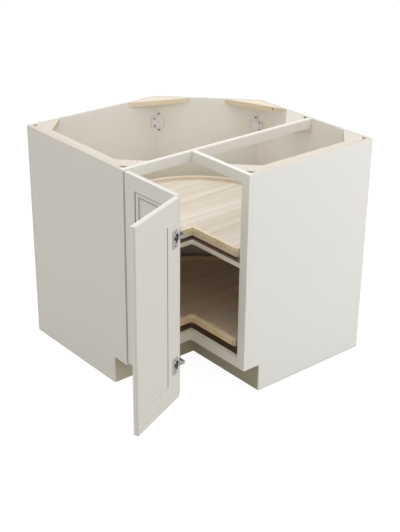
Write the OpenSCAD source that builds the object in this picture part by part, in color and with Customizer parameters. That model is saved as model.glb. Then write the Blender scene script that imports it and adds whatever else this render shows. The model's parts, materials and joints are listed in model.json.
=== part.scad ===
// Corner carousel cabinet: an L-shaped base unit with an open top, a two-leaf folding door on the left
// stile, a fixed shelf and two pie-cut trays on ball bearings. All sizes in millimetres, +Z up.
// The pieces are drawn in the cabinet's own frame: X = 0 is the left end's outer face, Y = 0 is the
// right end's outer face, and the two back walls meet at (leg_length, leg_length). place() then moves
// that frame so that the origin is the middle of the whole object's footprint, on the ground.
// The cabinet is symmetrical about the diagonal X = Y, so a right-hand piece is a mirrored left-hand one.

/* [Cabinet] */
// Length of each leg along its wall
leg_length = 914.4; // [880:0.1:1000]
// Depth of each leg, from the wall to the front of the face frame
leg_depth = 609.6; // [570:0.1:640]
// Height from the ground to the top edges
cabinet_h = 876.3; // [780:0.1:950]
// Length that the diagonal back panel cuts off each wall
corner_clip = 304.8; // [250:0.1:330]
// Thickness of the two end panels
end_t = 16; // [12:0.5:19]
// Thickness of the three back panels
back_t = 12; // [9:0.5:16]
// Depth of the grooves that hold the floor and the shelf
groove_depth = 5; // [3:0.5:7]

/* [Floor and shelf] */
// Thickness of the floor panel
floor_t = 12; // [9:0.5:19]
// Height of the floor panel's upper face
floor_top = 135.9; // [130:0.1:149]
// Thickness of the fixed shelf
shelf_t = 18; // [12:0.5:19]
// Height of the fixed shelf's upper face
shelf_top = 520.5; // [450:0.1:560]

/* [Toe kick] */
// Height of the recess for the toes
kick_h = 111.1; // [90:0.1:120]
// Depth of the recess behind the face frame's front
kick_depth = 76.2; // [50:0.1:90]
// Thickness of the toe boards
kick_board_t = 12; // [9:0.5:19]
// Width of the end panels' edge that stays beside the toe boards
toe_edge = 5; // [3:0.5:10]

/* [Face frame] */
// Thickness of the stiles and rails
frame_t = 19; // [16:0.5:22]
// Width of each stile
stile_w = 38.1; // [32:0.1:50]
// Height of the top rails
top_rail_h = 38.1; // [30:0.1:50]
// Height of the bottom rails
bottom_rail_h = 38.1; // [30:0.1:45]

/* [Blocks and battens] */
// Thickness of the corner blocks
block_t = 20; // [16:0.5:25]
// Leg of the blocks in the rear corners
rear_block_leg = 122; // [90:1:150]
// Leg of the blocks in the front corners
front_block_leg = 110; // [90:1:140]
// Leg of the blocks in the two obtuse corners
obtuse_block_leg = 140; // [110:1:160]
// Length clipped off the right angle of a corner block
block_clip = 25; // [10:1:40]
// Width of the top battens
batten_w = 28; // [18:1:40]
// Height of the top battens
batten_h = 38; // [25:1:50]
// Length of the cleat under the long rail's wall end
cleat_length = 60; // [50:1:100]
// Width of that cleat at the wall
cleat_w = 30; // [25:1:50]
// Height of that cleat
cleat_h = 20; // [15:1:30]

/* [Corner brackets] */
// Thickness of the stamped sheet
bracket_t = 1.6; // [1:0.1:2.5]
// Height of the brackets' middle under the top edges
bracket_drop = 107; // [90:1:150]
// Width of the wing on the wall
wall_wing_w = 27; // [22:1:35]
// Height of the wing on the wall
wall_wing_h = 44; // [38:1:55]
// Width of the wing on the diagonal panel
diagonal_wing_w = 34; // [24:1:40]
// Distance between the two screws of the diagonal wing
ear_spacing = 68; // [60:1:80]

/* [Trays] */
// Radius of each tray
tray_r = 375; // [330:1:385]
// Distance of the turning axis behind the front of the face frame, on both sides
tray_setback = 142.2; // [135:0.1:155]
// Gap between the notch of a tray and the back of the face frame
tray_gap = 11.2; // [6:0.1:25]
// Height of the rim band
band_h = 34; // [26:1:50]
// Thickness of the rim band
band_t = 11; // [8:0.5:14]
// Thickness of the tray board
board_t = 18.5; // [12:0.5:20]
// Radius at the two corners of the notch
tray_corner_r = 15; // [13:1:45]

/* [Ball bearings] */
// Total height of a bearing
bearing_h = 9.5; // [9.5:0.1:14]
// Radius of the balls
ball_r = 3; // [2:0.1:3]
// Radius of the circle of balls
ball_circle_r = 100; // [80:1:140]
// Number of balls in each bearing
ball_count = 24; // [12:1:40]
// Thickness of the stamped rings
ring_t = 1.5; // [1:0.1:2]
// Width of each ring's flat flange
ring_flange_w = 14; // [12:1:20]
// Overhang of the riser disc round the lower bearing's circle of balls
riser_margin = 20; // [10:1:80]
// Thickness of the riser disc
riser_t = 19; // [9:0.5:25]

/* [Door] */
// Thickness of the leaves
leaf_t = 19; // [18:0.5:22]
// Gap between the closed door and the face frame
frame_gap = 3; // [2.5:0.1:5]
// Width of each stile that the closed door covers
overlay = 35.1; // [34:0.1:36]
// Distance of the door's top from the top edges
top_reveal = 3.3; // [2:0.1:12]
// Height of the door's bottom over the toe recess
bottom_reveal = 10.4; // [3:0.1:20]
// Gap between the two closed leaves
fold_gap = 0.5; // [0.4:0.1:2]
// Width of the leaves' stiles and rails
member_w = 77; // [60:1:90]
// Width of the moulded inner edge of the stiles and rails
moulding_w = 20; // [14:1:24]
// Depth of the step where the moulding starts
quirk = 1.6; // [0.8:0.1:2]
// Depth of the moulding where its round begins
slope_end = 3.6; // [2.5:0.1:4]
// Radius of the moulding's round
bead_r = 4; // [3:0.1:4.2]
// Thickness of the recessed panels
panel_t = 6; // [4:0.5:8]
// Depth of the groove for the panel
panel_groove = 10; // [6:1:12]
// Radius of the leaves' outer edges
arris_r = 1.5; // [0.5:0.1:3]
// Angle by which the door stands open
door_open = 90; // [0:1:90]
// Angle by which the second leaf is bent back from square
leaf_unfold = 22.6; // [0:0.1:24]

/* [Hinges] */
// Distance of each hinge's middle from the door's top or bottom
hinge_inset = 137.5; // [100:0.5:180]
// Radius of the hinge cups
cup_r = 17.5; // [13:0.5:17.5]
// Depth of the hinge cups
cup_depth = 14; // [11:0.5:14.5]
// Distance of the left stile's inner edge from the centre of the closed hinge's cup
arm_reach = 13.1; // [10:0.1:14.5]
// Thickness of a cup's wall
cup_wall = 0.8; // [0.6:0.1:1.2]
// Distance of the pin inside the cup's outer wall
pin_bite = 3.5; // [3.2:0.1:4]
// Distance of the pin from the leaf's outer face
pin_depth = 8; // [7.5:0.1:8.5]
// Radius of the pins
pin_r = 1; // [0.8:0.1:1.1]
// Thickness of the hinge arms
arm_t = 1.8; // [1.4:0.1:2]
// Width of the hinge arms
arm_w = 9; // [7:0.5:9.5]
// Height of the arms' mounting plates
arm_plate_h = 44; // [36:1:60]
// Thickness of a cup's flange
flange_t = 1.2; // [0.8:0.1:1.6]
// Width of a cup's flange
flange_w = 36; // [30:1:40]
// Height of a cup's flange
flange_h = 64; // [58:1:80]

/* [Screws] */
// Radius of the screws' shanks
shank_r = 1.6; // [1.2:0.1:2]
// Radius of the screws' heads
head_r = 3.6; // [3:0.1:4]
// Height of the screws' heads
head_h = 1.8; // [1.2:0.1:2]
// Radius of the sunk heads
sunk_head_r = 3.2; // [2.8:0.1:3.6]

/* [Hidden] */
$fn = 64;

// Finishes
paint = "#d8d4c8";
paint_light = "#e6e4da";
plywood = "#dcc9a4";
maple = "#e2d6bd";
kick_paint = "#968f7a";
nickel = "#b9b9b6";
pale_steel = "#cbc4c6";
dark_steel = "#4a4540";

// Play left wherever something passes through a hole
fit = 0.05;
// Overrun of a cut past the face that it starts from
eps = 1;

// Planes of the cabinet
notch = leg_length - leg_depth;
frame_back = notch + frame_t;
inner_wall = leg_length - back_t;
clip_outer = leg_length - corner_clip;
clip_inner = clip_outer - back_t * tan(22.5);
kick_line = notch + kick_depth;

// Corner blocks and brackets
bracket_z = cabinet_h - bracket_drop;
wall_wing_lift = -1;
wing_corner_r = 8;
wall_hole_inset = 9;
wall_hole_spacing = 30;
ear_inset = 12;
ear_r = 6.5;
bracket_screw_length = 10;
pocket_r = 4;
pocket_offset = 97;
pocket_left = 12;
pocket_grip = 8;

// Trays: the turning axis, the notch's edges counted from it, and the centre of a rounded notch corner
tray_centre = notch + tray_setback;
notch_reach = tray_centre - frame_back - tray_gap;
corner_y = tray_corner_r - notch_reach;
corner_x = -sqrt(pow(tray_r - tray_corner_r, 2) - pow(corner_y, 2));
upper_tray_z = shelf_top + bearing_h;
lower_tray_z = floor_top + riser_t + bearing_h;

// Ball bearings
ball_z = bearing_h / 2;
race_clearance = 0.35;
race_bite = 0.5;
base_face_r = ball_circle_r - ball_r - race_clearance + race_bite;
ring_face_r = ball_circle_r + ball_r - race_bite;
lip_t = 2.7;
ring_screw_count = 6;
ring_screw_length = 10;
base_screw_r = base_face_r - lip_t - ring_flange_w / 2;
top_screw_r = ring_face_r + lip_t + ring_flange_w / 2;
riser_r = ball_circle_r + riser_margin;

// Door: the closed leaves' outer face, width and height, the cups' centres and the two pins
leaf_face = notch - frame_gap - leaf_t;
leaf_end = leaf_face - fold_gap;
side_reveal = stile_w - overlay;
leaf_w = leaf_end - side_reveal;
door_bottom = kick_h + bottom_reveal;
door_top = cabinet_h - top_reveal;
door_h = door_top - door_bottom;
cup_inset = overlay - arm_reach;
pin_inset = cup_inset - cup_r + pin_bite;
main_pin = [side_reveal + pin_inset, leaf_face + pin_depth];
fold_pin = [leaf_face + pin_depth, leaf_end - pin_inset];
hinge_heights = [door_bottom + hinge_inset, door_top - hinge_inset];
flat_w = member_w - moulding_w;
groove_front = slope_end + bead_r + 0.4;
groove_w = panel_t + 0.2;
panel_edge = member_w - panel_groove + 1;

// Hinges
cup_bottom = 0.6;
cup_hollow_r = cup_r - cup_wall;
flange_start = cup_inset - 10;
plate_corner_r = 5;
flange_screw_u = cup_inset + 9.5;
flange_screw_spread = 24;
pin_half = sqrt(pow(cup_r, 2) - pow(cup_inset - pin_inset + pin_r, 2)) - fit;
eye_r = pin_r + 0.7;
cup_screw_length = 12;
sunk_crown_h = 0.4;
arm_screw_length = 12;
arm_screw_spread = 14;
main_plate_start = notch + 1.2;
main_plate_end = frame_back - 0.3;
main_screw_y = notch + frame_t / 2;
fold_leg_x = notch + 0.5;
fold_plate_start = leaf_end - 20;
fold_screw_x = leaf_end - 11;
fold_plate_y = leaf_face + leaf_t;

// Where a point of the plan goes when it turns by an angle about a pivot
function turned(point, pivot, angle) = let (d = point - pivot)
    pivot + [d.x * cos(angle) - d.y * sin(angle), d.x * sin(angle) + d.y * cos(angle)];
// The far edge of the second leaf at rest, at the centre of one of its rounded edges
function far_edge(depth) =
    turned(turned([leaf_face + depth, side_reveal + arris_r], fold_pin, leaf_unfold), main_pin, -door_open);
far_front = far_edge(arris_r);
far_rear = far_edge(leaf_t - arris_r);
low_x = min(0, far_front.x - arris_r, far_rear.x - arris_r);
low_y = min(0, far_front.y - arris_r, far_rear.y - arris_r);
origin_x = (low_x + leg_length) / 2;
origin_y = (low_y + leg_length) / 2;

// ---- Placing ----

module place() translate([-origin_x, -origin_y, 0]) children();

// Left-hand piece to right-hand piece, across the diagonal
module swap_sides() mirror([1, -1, 0]) children();

module both_sides() {
    children();
    swap_sides() children();
}

module turn_about(pivot, angle)
    translate([pivot.x, pivot.y, 0]) rotate(angle) translate([-pivot.x, -pivot.y, 0]) children();

// The first leaf's pieces at rest, drawn as if the door were closed
module with_first_leaf() place() turn_about(main_pin, -door_open) children();

// The second leaf's pieces at rest, drawn as if the door were closed
module with_second_leaf() with_first_leaf() turn_about(fold_pin, leaf_unfold) children();

// A leaf's own frame: X across the leaf from its hinged edge, Y from its outer face inwards, Z up
module first_leaf_frame() translate([side_reveal, leaf_face, 0]) children();
module second_leaf_frame() translate([leaf_face, leaf_end, 0]) rotate(-90) children();

module at_tray(height) place() translate([tray_centre, tray_centre, height]) children();

module at_hinges() for (z = hinge_heights) translate([0, 0, z]) children();

// Spreads its children evenly round the Z axis, on a circle
module round_circle(count, radius)
    for (i = [0:count - 1]) rotate(i * 360 / count) translate([radius, 0, 0]) children();

// ---- Common shapes ----

// Screw with a low coned head. The head stands on Z = 0 and the shank points down.
module screw(length) {
    cylinder(r = head_r, h = head_h / 2);
    translate([0, 0, head_h / 2]) cylinder(r1 = head_r, r2 = head_r * 0.7, h = head_h / 2);
    translate([0, 0, -length]) cylinder(r = shank_r, h = length + head_h / 2);
}

// Screw whose head is sunk into a hinge flange. The flange's face is Z = 0, and the head's crown stands
// a little proud of it.
module sunk_screw(length) {
    cylinder(r1 = sunk_head_r, r2 = sunk_head_r * 0.6, h = sunk_crown_h);
    translate([0, 0, -flange_t]) cylinder(r1 = shank_r, r2 = sunk_head_r, h = flange_t);
    translate([0, 0, -length]) cylinder(r = shank_r, h = length);
}

// Countersunk hole for that screw
module sunk_hole() {
    cylinder(r = sunk_head_r + fit, h = eps);
    translate([0, 0, -flange_t]) cylinder(r1 = shank_r + fit, r2 = sunk_head_r + fit, h = flange_t);
    screw_hole(2 * flange_t);
}

// Hole for that screw, open at both ends
module screw_hole(length) translate([0, 0, -length - fit]) cylinder(r = shank_r + fit, h = length + fit + eps);

// Cuts a right-angled corner at the plan's origin down to a round of radius r
module round_off(r)
    difference() {
        translate([-eps, -eps]) square(r + eps);
        translate([r, r]) circle(r = r);
    }

module rounded_rectangle(w, h, r)
    difference() {
        square([w, h]);
        round_off(r);
        translate([w, 0]) mirror([1, 0]) round_off(r);
        translate([0, h]) mirror([0, 1]) round_off(r);
        translate([w, h]) rotate(180) round_off(r);
    }

// ---- Cabinet box ----

// Outline of the room between the ends, the back panels and the face frame, grown into the panels
function room_outline(grow) = let (
        side = end_t - grow,
        wall = inner_wall + grow,
        clip = clip_inner + grow * tan(22.5))
    [[side, frame_back], [frame_back, frame_back], [frame_back, side],
     [wall, side], [wall, clip], [clip, wall], [side, wall]];

module floor_slab()
    translate([0, 0, floor_top - floor_t]) linear_extrude(floor_t) polygon(room_outline(groove_depth));

module shelf_slab()
    translate([0, 0, shelf_top - shelf_t]) linear_extrude(shelf_t) polygon(room_outline(groove_depth));

module end_panel()
    difference() {
        translate([0, frame_back, 0]) cube([end_t, inner_wall - frame_back, cabinet_h]);
        translate([-eps, frame_back - eps, -eps])
            cube([end_t + 2 * eps, kick_line - frame_back + eps, kick_h + eps]);
        translate([toe_edge, kick_line - eps, -eps])
            cube([end_t, kick_board_t + eps, floor_top - floor_t + eps]);
        floor_slab();
        shelf_slab();
    }

module back_panel()
    difference() {
        linear_extrude(cabinet_h)
            polygon([[0, inner_wall], [clip_inner, inner_wall], [clip_outer, leg_length], [0, leg_length]]);
        floor_slab();
        shelf_slab();
        at_obtuse_corner() at_wall_screws() screw_hole(bracket_screw_length);
    }

module left_end_panel() color(paint) place() end_panel();

module right_end_panel() color(paint_light) place() swap_sides() end_panel();

module left_back_panel() color(plywood) place() back_panel();

module right_back_panel() color(plywood) place() swap_sides()
    difference() {
        back_panel();
        at_pocket_screw() screw_hole(pocket_left + pocket_grip);
    }

module diagonal_back_panel() color(plywood) place()
    difference() {
        linear_extrude(cabinet_h)
            polygon([[clip_inner, inner_wall], [clip_outer, leg_length],
                     [leg_length, clip_outer], [inner_wall, clip_inner]]);
        floor_slab();
        shelf_slab();
        both_sides() at_obtuse_corner() at_diagonal_screws() screw_hole(bracket_screw_length);
    }

module floor_panel() color(maple) place() floor_slab();

module fixed_shelf() color(maple) place()
    difference() {
        shelf_slab();
        translate([tray_centre, tray_centre, shelf_top + ring_t])
            round_circle(ring_screw_count, base_screw_r) screw_hole(ring_screw_length);
    }

// ---- Face frame and toe boards ----

module stile() translate([0, notch, kick_h]) cube([stile_w, frame_t, cabinet_h - kick_h]);

module left_stile() color(paint_light) place()
    difference() {
        stile();
        at_hinges() at_main_arm_screws() screw_hole(arm_screw_length);
    }

module right_stile() color(paint_light) place() swap_sides() stile();

// The long rail passes behind the end of the short one and runs on to the wall
module long_top_rail() color(paint_light) place()
    translate([stile_w, notch, cabinet_h - top_rail_h]) cube([inner_wall - stile_w, frame_t, top_rail_h]);

module short_top_rail() color(paint_light) place()
    translate([notch, stile_w, cabinet_h - top_rail_h]) cube([frame_t, notch - stile_w, top_rail_h]);

module left_bottom_rail() color(paint_light) place()
    translate([stile_w, notch, kick_h]) cube([frame_back - stile_w, frame_t, bottom_rail_h]);

module right_bottom_rail() color(paint_light) place()
    translate([notch, stile_w, kick_h]) cube([frame_t, notch - stile_w, bottom_rail_h]);

module left_toe_board() color(kick_paint) place()
    translate([toe_edge, kick_line, 0])
        cube([kick_line + kick_board_t - toe_edge, kick_board_t, floor_top - floor_t]);

module right_toe_board() color(kick_paint) place()
    translate([kick_line, toe_edge, 0])
        cube([kick_board_t, kick_line - toe_edge, floor_top - floor_t]);

// ---- Battens, blocks and brackets under the top edges ----

// The batten's ends are mitred against the long faces of the blocks
module top_batten()
    translate([0, 0, cabinet_h - batten_h]) linear_extrude(batten_h)
        polygon([[end_t, frame_back + front_block_leg],
                 [end_t + batten_w, frame_back + front_block_leg - batten_w],
                 [end_t + batten_w, inner_wall - rear_block_leg + batten_w],
                 [end_t, inner_wall - rear_block_leg]]);

module left_top_batten() color(plywood) place() top_batten();

module right_top_batten() color(plywood) place() swap_sides() top_batten();

module corner_block(leg)
    translate([0, 0, cabinet_h - block_t]) linear_extrude(block_t)
        polygon([[block_clip, 0], [leg, 0], [0, leg], [0, block_clip]]);

module corner_blocks() color(plywood) place() {
    translate([end_t, frame_back, 0]) corner_block(front_block_leg);
    translate([frame_back, end_t, 0]) corner_block(front_block_leg);
    translate([end_t, inner_wall, 0]) mirror([0, 1, 0]) corner_block(rear_block_leg);
    translate([inner_wall, end_t, 0]) mirror([1, 0, 0]) corner_block(rear_block_leg);
    translate([inner_wall, frame_back, 0]) mirror([1, 0, 0]) corner_block(rear_block_leg);
}

// The corner between the left back panel and the diagonal one, seen from inside the cabinet: the wall
// runs along -X from it, and the diagonal panel runs off at 45 degrees below +X
module at_obtuse_corner() translate([clip_inner, inner_wall, 0]) children();

// Each of these turns its children so that +Z points into the room from one panel of that corner
module on_wall(along, height) translate([-along, 0, height]) rotate([90, 0, 0]) children();
module on_diagonal(along, height) rotate(-45) translate([along, 0, height]) rotate([90, 0, 0]) children();

module at_wall_screws()
    for (side = [-0.5, 0.5])
        on_wall(wall_hole_inset, bracket_z + wall_wing_lift + side * wall_hole_spacing)
            translate([0, 0, bracket_t]) children();

module at_diagonal_screws()
    for (side = [-0.5, 0.5])
        on_diagonal(ear_inset, bracket_z + side * ear_spacing) translate([0, 0, bracket_t]) children();

module obtuse_block()
    at_obtuse_corner() translate([0, 0, cabinet_h - block_t]) linear_extrude(block_t)
        polygon([[0, 0], [-obtuse_block_leg, 0], obtuse_block_leg * [cos(45), -sin(45)]]);

// Only the right-hand block shows a screw, in a pocket drilled through to within pocket_left of the wall
module at_pocket_screw()
    at_obtuse_corner() on_wall(pocket_offset, cabinet_h - block_t / 2)
        translate([0, 0, pocket_left]) children();

module obtuse_blocks() color(plywood) place() {
    obtuse_block();
    swap_sides() difference() {
        obtuse_block();
        at_pocket_screw() {
            cylinder(r = pocket_r, h = obtuse_block_leg);
            screw_hole(pocket_left);
        }
    }
}

module pocket_screw() color(dark_steel) place() swap_sides()
    at_pocket_screw() screw(pocket_left + pocket_grip);

// Its long face looks forwards and away from the wall
module stretcher_cleat() color(plywood) place()
    translate([inner_wall, notch, cabinet_h - top_rail_h - cleat_h]) linear_extrude(cleat_h)
        polygon([[0, 0], [0, cleat_w], [-cleat_length, cleat_w]]);

// Stamped bracket: a rounded wing on the wall, and a wing with two ears on the diagonal panel
module bracket()
    difference() {
        union() {
            translate([0, 0, bracket_z + wall_wing_lift]) rotate([90, 0, 0]) linear_extrude(bracket_t)
                translate([-wall_wing_w, -wall_wing_h / 2])
                    rounded_rectangle(2 * wall_wing_w, wall_wing_h, wing_corner_r);
            rotate(-45) translate([0, 0, bracket_z]) rotate([90, 0, 0]) linear_extrude(bracket_t)
                diagonal_wing();
        }
        beyond_diagonal();
        at_wall_screws() screw_hole(2 * bracket_t);
        at_diagonal_screws() screw_hole(2 * bracket_t);
    }

module diagonal_wing() {
    translate([0, wall_wing_lift - wall_wing_h / 2]) square([diagonal_wing_w, wall_wing_h]);
    for (side = [-0.5, 0.5]) translate([ear_inset, side * ear_spacing]) circle(r = ear_r);
    translate([ear_inset - ear_r, -ear_spacing / 2]) square([2 * ear_r, ear_spacing]);
}

// Everything behind the diagonal panel's inner face
module beyond_diagonal() rotate(-45) translate([-cabinet_h, 0, 0]) cube([2 * cabinet_h, cabinet_h, cabinet_h]);

module corner_brackets() color(pale_steel) place() both_sides() at_obtuse_corner() bracket();

module bracket_screws() color(dark_steel) place() both_sides() at_obtuse_corner() {
    at_wall_screws() screw(bracket_screw_length);
    at_diagonal_screws() screw(bracket_screw_length);
}

// ---- Ball bearings ----

module lower_riser() color(maple) at_tray(floor_top)
    difference() {
        cylinder(r = riser_r, h = riser_t, $fn = 128);
        translate([0, 0, riser_t + ring_t])
            round_circle(ring_screw_count, base_screw_r) screw_hole(ring_screw_length);
    }

// Fixed ring: a flat flange inside, and a lip with the inner race
module bearing_base()
    difference() {
        rotate_extrude($fn = 128)
            difference() {
                union() {
                    translate([base_face_r - lip_t, 0]) square([lip_t, bearing_h - ring_t]);
                    translate([base_face_r - lip_t - ring_flange_w, 0]) square([ring_flange_w + eps, ring_t]);
                }
                translate([ball_circle_r, ball_z]) circle(r = ball_r + race_clearance);
            }
        translate([0, 0, ring_t]) round_circle(ring_screw_count, base_screw_r) screw_hole(ring_t + eps);
    }

// Turning ring: a lip with the outer race, and a flat flange outside that is screwed to the tray
module bearing_ring()
    difference() {
        rotate_extrude($fn = 128)
            difference() {
                union() {
                    translate([ring_face_r, ring_t]) square([lip_t, bearing_h - ring_t]);
                    translate([ring_face_r, bearing_h - ring_t]) square([lip_t + ring_flange_w, ring_t]);
                }
                translate([ball_circle_r, ball_z]) circle(r = ball_r + fit);
            }
        at_ring_screws() screw_hole(ring_t + eps);
    }

// The screws of the turning ring point up into the tray
module at_ring_screws()
    translate([0, 0, bearing_h - ring_t]) round_circle(ring_screw_count, top_screw_r) mirror([0, 0, 1]) children();

module bearing_balls() round_circle(ball_count, ball_circle_r) translate([0, 0, ball_z]) sphere(r = ball_r);

module upper_bearing_base() color(nickel) at_tray(shelf_top) bearing_base();

module lower_bearing_base() color(nickel) at_tray(floor_top + riser_t) bearing_base();

module bearing_base_screws() color(nickel)
    for (height = [shelf_top, floor_top + riser_t])
        at_tray(height + ring_t) round_circle(ring_screw_count, base_screw_r) screw(ring_screw_length);

module upper_bearing_ring() color(nickel) at_tray(shelf_top) bearing_ring();

module lower_bearing_ring() color(nickel) at_tray(floor_top + riser_t) bearing_ring();

module upper_bearing_balls() color(nickel) at_tray(shelf_top) bearing_balls();

module lower_bearing_balls() color(nickel) at_tray(floor_top + riser_t) bearing_balls();

module upper_ring_screws() color(nickel) at_tray(shelf_top) at_ring_screws() screw(ring_screw_length);

module lower_ring_screws() color(nickel)
    at_tray(floor_top + riser_t) at_ring_screws() screw(ring_screw_length);

// ---- Trays ----

// Full outline of a tray, shrunk by inset: a disc with a square notch, whose two corners are rounded
module tray_outline(inset) {
    rounding = tray_corner_r - inset;
    difference() {
        circle(r = tray_r - inset, $fn = 180);
        translate([-2 * tray_r, -2 * tray_r]) square(2 * tray_r - notch_reach + inset);
        tray_corner_cut();
        mirror([1, -1]) tray_corner_cut();
    }
    translate([corner_x, corner_y]) circle(r = rounding);
    translate([corner_y, corner_x]) circle(r = rounding);
}

// The wedge outside a rounded corner, between the lines from its centre to where the round meets
// the notch's edge and the disc's edge
module tray_corner_cut() {
    reach = 2 * tray_corner_r;
    outward = [corner_x, corner_y] / norm([corner_x, corner_y]);
    translate([corner_x, corner_y]) polygon([[0, 0], [0, -reach], [-reach, -reach], reach * outward]);
}

// One straight lip of the notch, from the rounded corner to the mitre in the notch's own corner
module lip_outline()
    polygon([[corner_x, -notch_reach], [-notch_reach, -notch_reach],
             [band_t - notch_reach, band_t - notch_reach], [corner_x, band_t - notch_reach]]);

module tray_board()
    difference() {
        linear_extrude(board_t) tray_outline(band_t);
        translate([0, 0, -bearing_h]) at_ring_screws() screw_hole(ring_screw_length);
    }

module tray_rim()
    linear_extrude(band_h)
        difference() {
            tray_outline(0);
            tray_outline(band_t);
            lip_outline();
            mirror([1, -1]) lip_outline();
        }

module tray_lips()
    linear_extrude(band_h) {
        lip_outline();
        mirror([1, -1]) lip_outline();
    }

module upper_tray_board() color(maple) at_tray(upper_tray_z) tray_board();

module upper_tray_rim() color(maple) at_tray(upper_tray_z) tray_rim();

module upper_tray_lips() color(maple) at_tray(upper_tray_z) tray_lips();

module lower_tray_board() color(maple) at_tray(lower_tray_z) tray_board();

module lower_tray_rim() color(maple) at_tray(lower_tray_z) tray_rim();

module lower_tray_lips() color(maple) at_tray(lower_tray_z) tray_lips();

// ---- Door leaves ----

// Section of a leaf's stile or rail: X from its outer edge inwards, Y from the leaf's outer face
module member_section()
    difference() {
        union() {
            polygon([[0, 0], [flat_w, 0], [flat_w, quirk], [member_w - bead_r, slope_end],
                     [member_w - bead_r, slope_end + bead_r], [member_w, slope_end + bead_r],
                     [member_w, leaf_t], [0, leaf_t]]);
            translate([member_w - bead_r, slope_end + bead_r]) circle(r = bead_r);
        }
        translate([member_w - panel_groove, groove_front]) square([panel_groove + eps, groove_w]);
        round_off(arris_r);
        translate([0, leaf_t]) mirror([0, 1]) round_off(arris_r);
    }

module near_stile_blank() translate([0, 0, door_bottom]) linear_extrude(door_h) member_section();

module far_stile_blank() translate([leaf_w, 0, 0]) mirror([1, 0, 0]) near_stile_blank();

// The whole leaf as a slab with rounded top and bottom edges
module leaf_slab()
    translate([0, 0, door_bottom]) rotate([90, 0, 90]) linear_extrude(leaf_w)
        rounded_rectangle(leaf_t, door_h, arris_r);

module near_stile()
    intersection() {
        near_stile_blank();
        leaf_slab();
    }

module far_stile()
    intersection() {
        far_stile_blank();
        leaf_slab();
    }

// The rail runs between the flats of the stiles, and its ends are coped over the stiles' moulding
module bottom_rail()
    difference() {
        translate([leaf_w - flat_w, 0, door_bottom]) rotate([0, -90, 0])
            linear_extrude(leaf_w - 2 * flat_w) member_section();
        near_stile_blank();
        far_stile_blank();
    }

module top_rail() translate([0, 0, door_bottom + door_top]) mirror([0, 0, 1]) bottom_rail();

module leaf_panel()
    translate([panel_edge, groove_front, door_bottom + panel_edge])
        cube([leaf_w - 2 * panel_edge, panel_t, door_h - 2 * panel_edge]);

module hinged_near_stile()
    difference() {
        near_stile();
        at_hinges() {
            into_leaf() cylinder(r = cup_r + fit, h = cup_depth);
            at_cup_screws() screw_hole(cup_screw_length);
        }
    }

module hinge_stile() color(paint) with_first_leaf() first_leaf_frame() hinged_near_stile();

module fold_stile() color(paint) with_first_leaf()
    difference() {
        first_leaf_frame() far_stile();
        at_hinges() at_fold_arm_screws() screw_hole(arm_screw_length);
    }

module first_leaf_top_rail() color(paint) with_first_leaf() first_leaf_frame() top_rail();

module first_leaf_bottom_rail() color(paint) with_first_leaf() first_leaf_frame() bottom_rail();

module first_leaf_panel() color(paint) with_first_leaf() first_leaf_frame() leaf_panel();

module joint_stile() color(paint) with_second_leaf() second_leaf_frame() hinged_near_stile();

module free_stile() color(paint) with_second_leaf() second_leaf_frame() far_stile();

module second_leaf_top_rail() color(paint) with_second_leaf() second_leaf_frame() top_rail();

module second_leaf_bottom_rail() color(paint) with_second_leaf() second_leaf_frame() bottom_rail();

module second_leaf_panel() color(paint) with_second_leaf() second_leaf_frame() leaf_panel();

// ---- Cup hinges, each drawn at its own middle height ----

// +Z points from the leaf's back at the cup's centre into the leaf
module into_leaf() translate([cup_inset, leaf_t, 0]) rotate([90, 0, 0]) children();

module at_cup_screws()
    for (side = [-1, 1])
        translate([flange_screw_u, leaf_t + flange_t, side * flange_screw_spread])
            rotate([-90, 0, 0]) children();

// Pressed cup and flange in one, with the pin's holes in the cup's wall
module hinge_cup()
    difference() {
        union() {
            into_leaf() cylinder(r = cup_r, h = cup_depth);
            translate([flange_start, leaf_t + flange_t, -flange_h / 2]) rotate([90, 0, 0])
                linear_extrude(flange_t) rounded_rectangle(flange_w, flange_h, plate_corner_r);
        }
        translate([0, flange_t + eps, 0]) into_leaf()
            cylinder(r = cup_hollow_r, h = cup_depth - cup_bottom + flange_t + eps);
        translate([pin_inset, pin_depth, -cup_r]) cylinder(r = pin_r, h = 2 * cup_r);
        at_cup_screws() sunk_hole();
    }

module hinge_pin() translate([pin_inset, pin_depth, -pin_half]) cylinder(r = pin_r, h = 2 * pin_half);

// Bore of an arm's eye, in which the pin turns
module pin_bore(pin) translate([pin.x, pin.y, 0]) cylinder(r = pin_r + fit, h = arm_w + eps, center = true);

// The arm leaves the cup sideways, turns along the stile's inner edge and is screwed to it
module main_hinge_arm()
    difference() {
        union() {
            linear_extrude(arm_w, center = true)
                difference() {
                    union() {
                        translate([main_pin.x, main_pin.y - arm_t / 2])
                            square([stile_w + arm_t - main_pin.x, arm_t]);
                        translate([stile_w, main_pin.y - arm_t / 2])
                            square([arm_t, main_plate_end - main_pin.y]);
                        translate([main_pin.x, main_pin.y]) circle(r = eye_r);
                    }
                    translate([stile_w + arm_t, main_pin.y - arm_t / 2]) mirror([1, 0]) round_off(arm_t);
                }
            translate([stile_w + arm_t, main_plate_start, -arm_plate_h / 2]) rotate([0, -90, 0])
                linear_extrude(arm_t)
                    rounded_rectangle(arm_plate_h, main_plate_end - main_plate_start, plate_corner_r);
        }
        pin_bore(main_pin);
        at_main_arm_screws() screw_hole(2 * arm_t);
    }

module at_main_arm_screws()
    for (side = [-1, 1])
        translate([stile_w + arm_t, main_screw_y, side * arm_screw_spread]) rotate([0, 90, 0]) children();

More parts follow.
